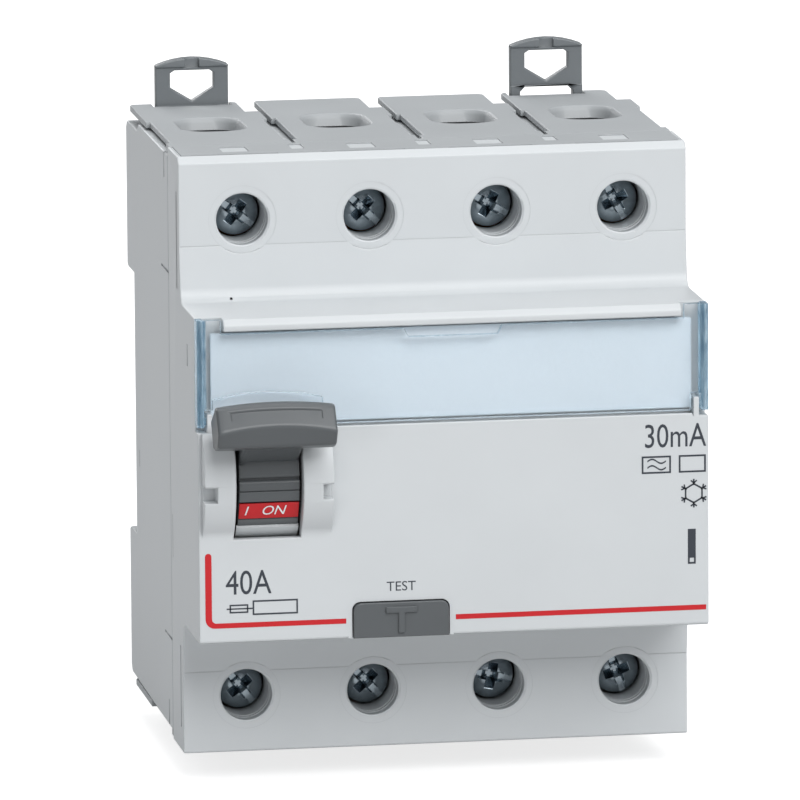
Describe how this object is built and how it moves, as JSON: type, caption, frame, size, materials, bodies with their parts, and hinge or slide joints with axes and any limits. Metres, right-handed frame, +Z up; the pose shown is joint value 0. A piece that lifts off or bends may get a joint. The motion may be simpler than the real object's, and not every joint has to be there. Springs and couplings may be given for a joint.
{
  "type": "residual current device",
  "caption": "Modular residual current circuit breaker for a DIN rail: stepped casing, toggle, test button, label window and cage terminals at both ends.",
  "frame": {"origin": "middle of the flat that bears on the rail, on the rail's centre line", "axes": "X along the rail with the toggle's end at -X, Y back through the rail so that the front faces -Y, Z up"},
  "size_m": [0.0712, 0.0767, 0.096],
  "materials": {
    "casing": "light grey moulded casing, finely textured",
    "cover_plates": "slightly darker grey moulded plates",
    "dark_plastic": "dark grey satin moulding",
    "clip_plastic": "mid grey moulded clip",
    "red_plastic": "red position flag",
    "black_plastic": "black insulating moulding",
    "clear_window": "clear polycarbonate",
    "label_paper": "plain label card",
    "zinc_screw": "zinc plated steel screw",
    "zinc_cage": "zinc plated steel cage",
    "steel": "bright steel",
    "copper": "copper conductor",
    "silver": "silver plated contact arm",
    "lacquer": "enamelled winding and resistor body"
  },
  "bodies": {
    "root": {"front_cover": "casing", "rear_base": "casing", "terminal_cover_top_1": "cover_plates", "terminal_cover_top_2": "cover_plates", "terminal_cover_top_3": "cover_plates", "terminal_cover_top_4": "cover_plates", "terminal_cover_bottom_1": "cover_plates", "terminal_cover_bottom_2": "cover_plates", "terminal_cover_bottom_3": "cover_plates", "terminal_cover_bottom_4": "cover_plates", "label_card": "label_paper", "toggle_axle": "steel", "mechanism_frame": "steel", "opening_spring": "steel", "test_spring": "steel", "test_resistor": "lacquer", "summation_core": "black_plastic", "secondary_winding": "lacquer", "trip_relay": "black_plastic", "line_terminal_1": "copper", "line_terminal_2": "copper", "line_terminal_3": "copper", "line_terminal_4": "copper", "load_conductor_1": "copper", "load_conductor_2": "copper", "load_conductor_3": "copper", "load_conductor_4": "copper"},
    "toggle": {"toggle_lever": "dark_plastic", "on_flag": "red_plastic"},
    "carrier": {"contact_carrier": "black_plastic", "moving_contact_1": "silver", "moving_contact_2": "silver", "moving_contact_3": "silver", "moving_contact_4": "silver"},
    "link": {"drive_link": "steel"},
    "button": {"test_button": "dark_plastic"},
    "window": {"label_window": "clear_window"},
    "plunger": {"relay_plunger": "steel"},
    "trip": {"trip_bar": "dark_plastic"},
    "upper_left_clip": {"din_clip_upper_left": "clip_plastic"},
    "upper_right_clip": {"din_clip_upper_right": "clip_plastic"},
    "lower_left_clip": {"din_clip_lower_left": "clip_plastic"},
    "lower_right_clip": {"din_clip_lower_right": "clip_plastic"},
    "screw_top_1": {"terminal_screw_top_1": "zinc_screw"},
    "cage_top_1": {"clamp_cage_top_1": "zinc_cage"},
    "screw_top_2": {"terminal_screw_top_2": "zinc_screw"},
    "cage_top_2": {"clamp_cage_top_2": "zinc_cage"},
    "screw_top_3": {"terminal_screw_top_3": "zinc_screw"},
    "cage_top_3": {"clamp_cage_top_3": "zinc_cage"},
    "screw_top_4": {"terminal_screw_top_4": "zinc_screw"},
    "cage_top_4": {"clamp_cage_top_4": "zinc_cage"},
    "screw_bottom_1": {"terminal_screw_bottom_1": "zinc_screw"},
    "cage_bottom_1": {"clamp_cage_bottom_1": "zinc_cage"},
    "screw_bottom_2": {"terminal_screw_bottom_2": "zinc_screw"},
    "cage_bottom_2": {"clamp_cage_bottom_2": "zinc_cage"},
    "screw_bottom_3": {"terminal_screw_bottom_3": "zinc_screw"},
    "cage_bottom_3": {"clamp_cage_bottom_3": "zinc_cage"},
    "screw_bottom_4": {"terminal_screw_bottom_4": "zinc_screw"},
    "cage_bottom_4": {"clamp_cage_bottom_4": "zinc_cage"}
  },
  "joints": [
    {"name": "toggle_pivot", "type": "hinge", "parent": "root", "child": "toggle", "pos_m": [-0.02595, -0.0521, -0.0015], "axis": [1, 0, 0], "range_deg": [0, 62]},
    {"name": "carrier_turn", "type": "hinge", "parent": "root", "child": "carrier", "pos_m": [0, -0.029, 0.003], "axis": [1, 0, 0], "range_deg": [0, 15]},
    {"name": "link_swing", "type": "hinge", "parent": "root", "child": "link", "pos_m": [-0.026, -0.0345, 0.002], "axis": [1, 0, 0], "range_deg": [-20, 0]},
    {"name": "test_press", "type": "slide", "parent": "root", "child": "button", "axis": [0, 1, 0], "range_m": [0, 0.002], "stiffness_N_per_m": 700, "springref_m": -0.001, "deforming": ["test_spring"]},
    {"name": "window_pivot", "type": "hinge", "parent": "root", "child": "window", "pos_m": [0, -0.0589, 0.0069], "axis": [1, 0, 0], "range_deg": [0, 48]},
    {"name": "upper_left_clip_slide", "type": "slide", "parent": "root", "child": "upper_left_clip", "axis": [0, 0, 1], "range_m": [-0.0013, 0.0027]},
    {"name": "upper_right_clip_slide", "type": "slide", "parent": "root", "child": "upper_right_clip", "axis": [0, 0, 1], "range_m": [-0.0026, 0.0014]},
    {"name": "lower_left_clip_slide", "type": "slide", "parent": "root", "child": "lower_left_clip", "axis": [0, 0, -1], "range_m": [0, 0.004]},
    {"name": "lower_right_clip_slide", "type": "slide", "parent": "root", "child": "lower_right_clip", "axis": [0, 0, -1], "range_m": [0, 0.004]},
    {"name": "plunger_stroke", "type": "slide", "parent": "root", "child": "plunger", "axis": [-1, 0, 0], "range_m": [0, 0.0015]},
    {"name": "trip_stroke", "type": "slide", "parent": "root", "child": "trip", "axis": [-1, 0, 0], "range_m": [0, 0.0012]},
    {"name": "screw_turn_top_1", "type": "hinge", "parent": "root", "child": "screw_top_1", "pos_m": [-0.0267, -0.03, 0.0323], "axis": [0, 1, 0], "range_deg": [0, 2520]},
    {"name": "cage_slide_top_1", "type": "slide", "parent": "root", "child": "cage_top_1", "axis": [0, -1, 0], "range_m": [0, 0.0056]},
    {"name": "screw_turn_top_2", "type": "hinge", "parent": "root", "child": "screw_top_2", "pos_m": [-0.0089, -0.03, 0.0323], "axis": [0, 1, 0], "range_deg": [0, 2520]},
    {"name": "cage_slide_top_2", "type": "slide", "parent": "root", "child": "cage_top_2", "axis": [0, -1, 0], "range_m": [0, 0.0056]},
    {"name": "screw_turn_top_3", "type": "hinge", "parent": "root", "child": "screw_top_3", "pos_m": [0.0089, -0.03, 0.0323], "axis": [0, 1, 0], "range_deg": [0, 2520]},
    {"name": "cage_slide_top_3", "type": "slide", "parent": "root", "child": "cage_top_3", "axis": [0, -1, 0], "range_m": [0, 0.0056]},
    {"name": "screw_turn_top_4", "type": "hinge", "parent": "root", "child": "screw_top_4", "pos_m": [0.0267, -0.03, 0.0323], "axis": [0, 1, 0], "range_deg": [0, 2520]},
    {"name": "cage_slide_top_4", "type": "slide", "parent": "root", "child": "cage_top_4", "axis": [0, -1, 0], "range_m": [0, 0.0056]},
    {"name": "screw_turn_bottom_1", "type": "hinge", "parent": "root", "child": "screw_bottom_1", "pos_m": [-0.0267, -0.03, -0.0346], "axis": [0, 1, 0], "range_deg": [0, 2520]},
    {"name": "cage_slide_bottom_1", "type": "slide", "parent": "root", "child": "cage_bottom_1", "axis": [0, -1, 0], "range_m": [0, 0.0056]},
    {"name": "screw_turn_bottom_2", "type": "hinge", "parent": "root", "child": "screw_bottom_2", "pos_m": [-0.0089, -0.03, -0.0346], "axis": [0, 1, 0], "range_deg": [0, 2520]},
    {"name": "cage_slide_bottom_2", "type": "slide", "parent": "root", "child": "cage_bottom_2", "axis": [0, -1, 0], "range_m": [0, 0.0056]},
    {"name": "screw_turn_bottom_3", "type": "hinge", "parent": "root", "child": "screw_bottom_3", "pos_m": [0.0089, -0.03, -0.0346], "axis": [0, 1, 0], "range_deg": [0, 2520]},
    {"name": "cage_slide_bottom_3", "type": "slide", "parent": "root", "child": "cage_bottom_3", "axis": [0, -1, 0], "range_m": [0, 0.0056]},
    {"name": "screw_turn_bottom_4", "type": "hinge", "parent": "root", "child": "screw_bottom_4", "pos_m": [0.0267, -0.03, -0.0346], "axis": [0, 1, 0], "range_deg": [0, 2520]},
    {"name": "cage_slide_bottom_4", "type": "slide", "parent": "root", "child": "cage_bottom_4", "axis": [0, -1, 0], "range_m": [0, 0.0056]}
  ],
  "couplings": [
    {"joint": "carrier_turn", "follows": "toggle_pivot", "ratio": 0.24193},
    {"joint": "link_swing", "follows": "toggle_pivot", "ratio": -0.32258},
    {"joint": "trip_stroke", "follows": "plunger_stroke", "ratio": 0.8},
    {"joint": "screw_turn_top_1", "follows": "cage_slide_top_1", "rad_per_m": 7853.9},
    {"joint": "screw_turn_top_2", "follows": "cage_slide_top_2", "rad_per_m": 7853.9},
    {"joint": "screw_turn_top_3", "follows": "cage_slide_top_3", "rad_per_m": 7853.9},
    {"joint": "screw_turn_top_4", "follows": "cage_slide_top_4", "rad_per_m": 7853.9},
    {"joint": "screw_turn_bottom_1", "follows": "cage_slide_bottom_1", "rad_per_m": 7853.9},
    {"joint": "screw_turn_bottom_2", "follows": "cage_slide_bottom_2", "rad_per_m": 7853.9},
    {"joint": "screw_turn_bottom_3", "follows": "cage_slide_bottom_3", "rad_per_m": 7853.9},
    {"joint": "screw_turn_bottom_4", "follows": "cage_slide_bottom_4", "rad_per_m": 7853.9}
  ]
}
